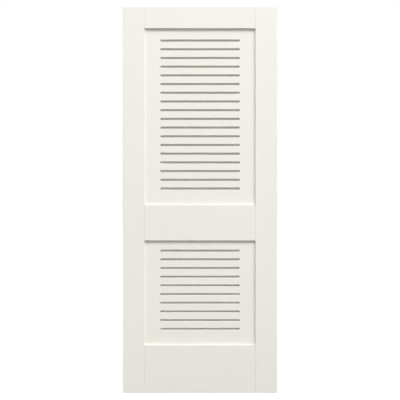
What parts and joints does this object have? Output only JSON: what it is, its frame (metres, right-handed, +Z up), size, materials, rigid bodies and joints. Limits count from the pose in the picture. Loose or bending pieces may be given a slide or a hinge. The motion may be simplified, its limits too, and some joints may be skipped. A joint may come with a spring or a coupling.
{
  "type": "interior door slab",
  "caption": "White painted interior door slab: square edged stiles and rails round two flat recessed panels with level rows of sloping vent slots.",
  "frame": {"origin": "on the hinge edge, at the bottom of the slab, midway through its thickness", "axes": "+X across the door from the hinge edge to the lock edge, +Y from the front face to the back face, +Z up"},
  "size_m": [0.8128, 0.035, 2.032],
  "materials": {
    "frame_paint": "satin",
    "panel_paint": "satin"
  },
  "bodies": {
    "root": {"left_stile": "frame_paint", "right_stile": "frame_paint", "top_rail": "frame_paint", "lock_rail": "frame_paint", "bottom_rail": "frame_paint", "upper_vent_panel": "panel_paint", "lower_vent_panel": "panel_paint"}
  },
  "joints": []
}
